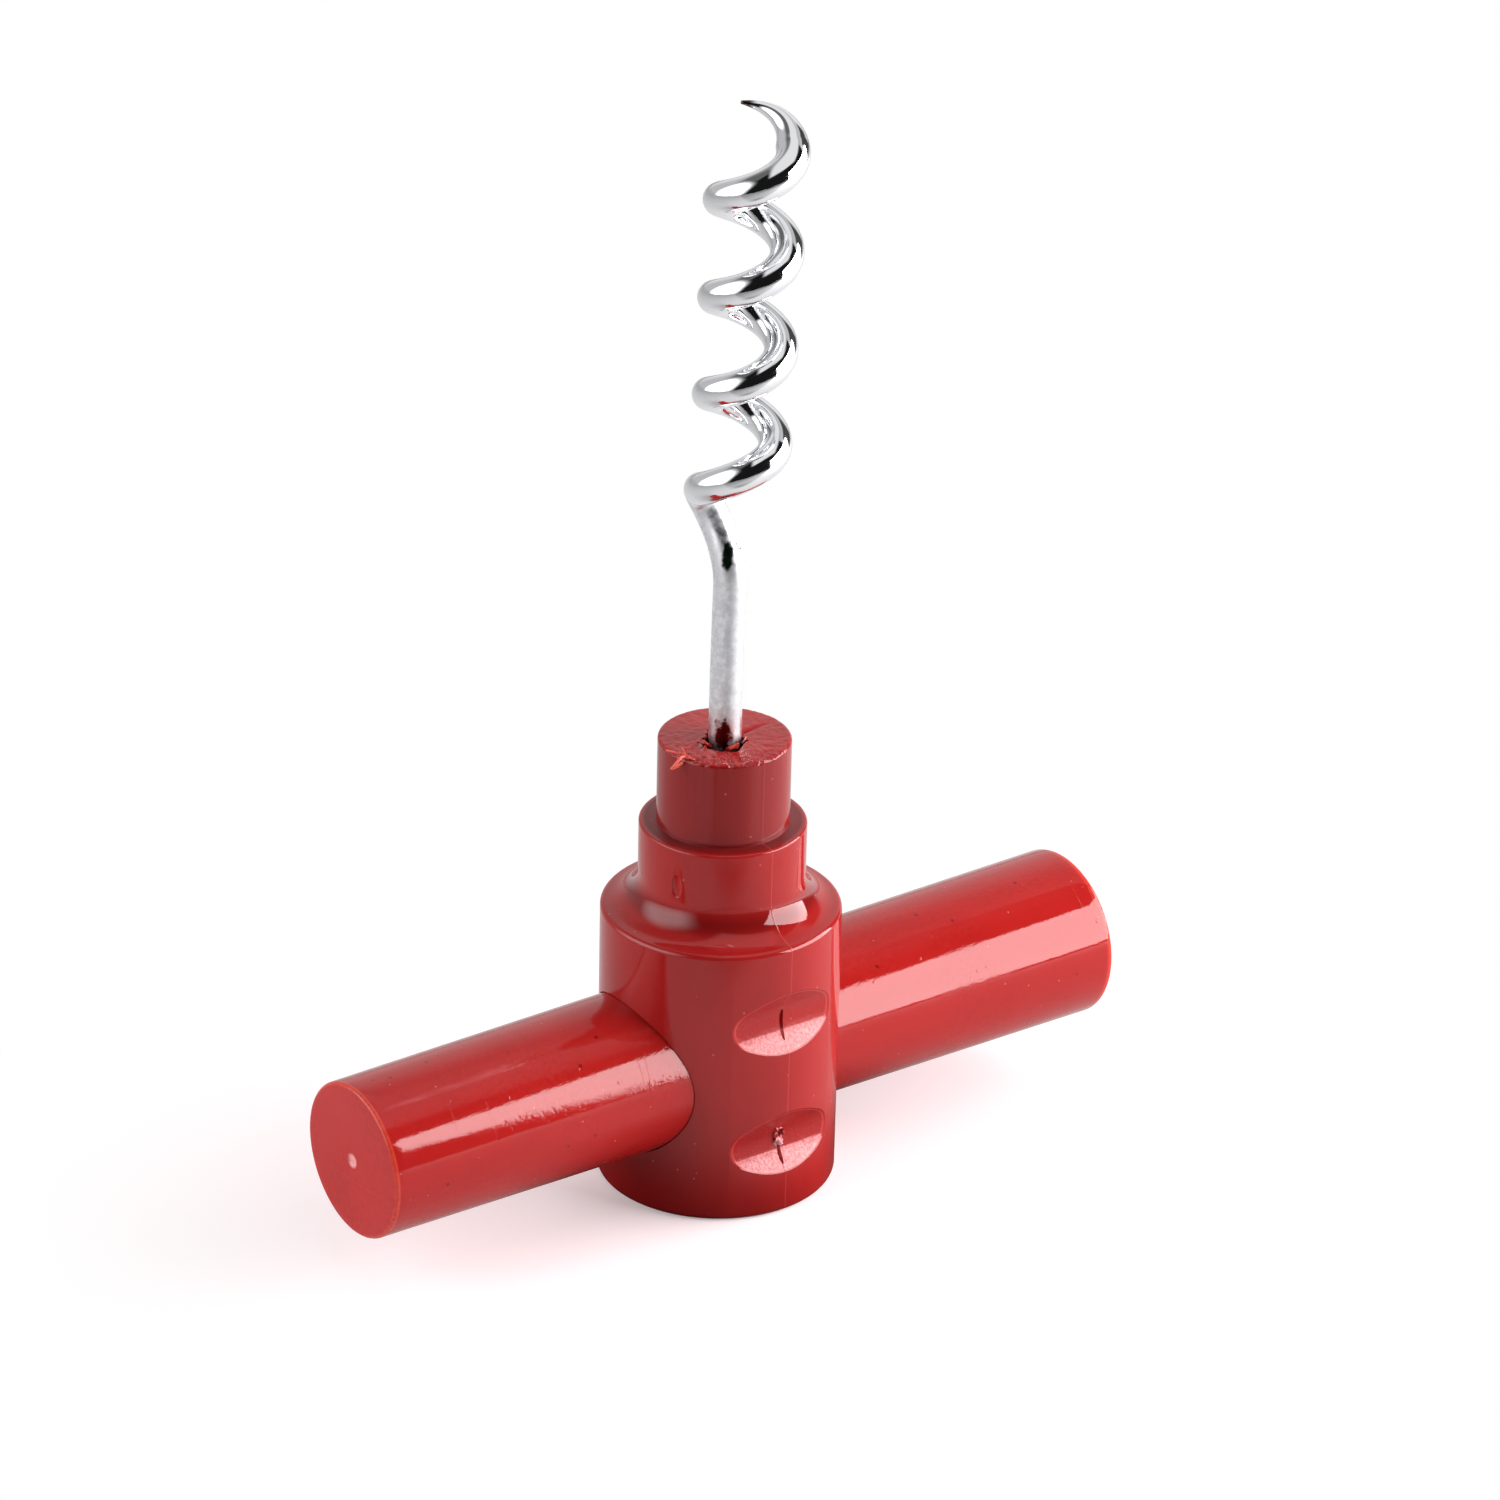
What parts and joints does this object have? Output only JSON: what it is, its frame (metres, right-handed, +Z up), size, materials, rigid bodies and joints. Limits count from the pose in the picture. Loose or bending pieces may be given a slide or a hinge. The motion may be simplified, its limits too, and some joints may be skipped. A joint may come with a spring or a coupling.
{
  "type": "pocket corkscrew",
  "caption": "Pocket corkscrew: a chromed wire worm in a moulded hub, with a tapered sheath pushed through the hub as the cross handle.",
  "frame": {"origin": "centre of the hub's flat base", "axes": "+Z up the axis of the hub and the worm; +X along the cross handle towards the open mouth of the sheath; -Y towards the scallops at the front of the hub"},
  "size_m": [0.0797, 0.022, 0.1033],
  "materials": {
    "hub_plastic": "glossy injection-moulded polystyrene or ABS, slightly worn",
    "worm_chrome": "bright chrome plating on drawn steel wire",
    "sheath_plastic": "glossy injection-moulded polystyrene or ABS with fine rub marks"
  },
  "bodies": {
    "hub_body": {"hub": "hub_plastic", "worm": "worm_chrome"},
    "sheath_body": {"sheath": "sheath_plastic"}
  },
  "joints": [
    {"name": "sheath_slide", "type": "slide", "parent": "hub_body", "child": "sheath_body", "axis": [1, 0, 0], "range_m": [0, 0.056]}
  ]
}
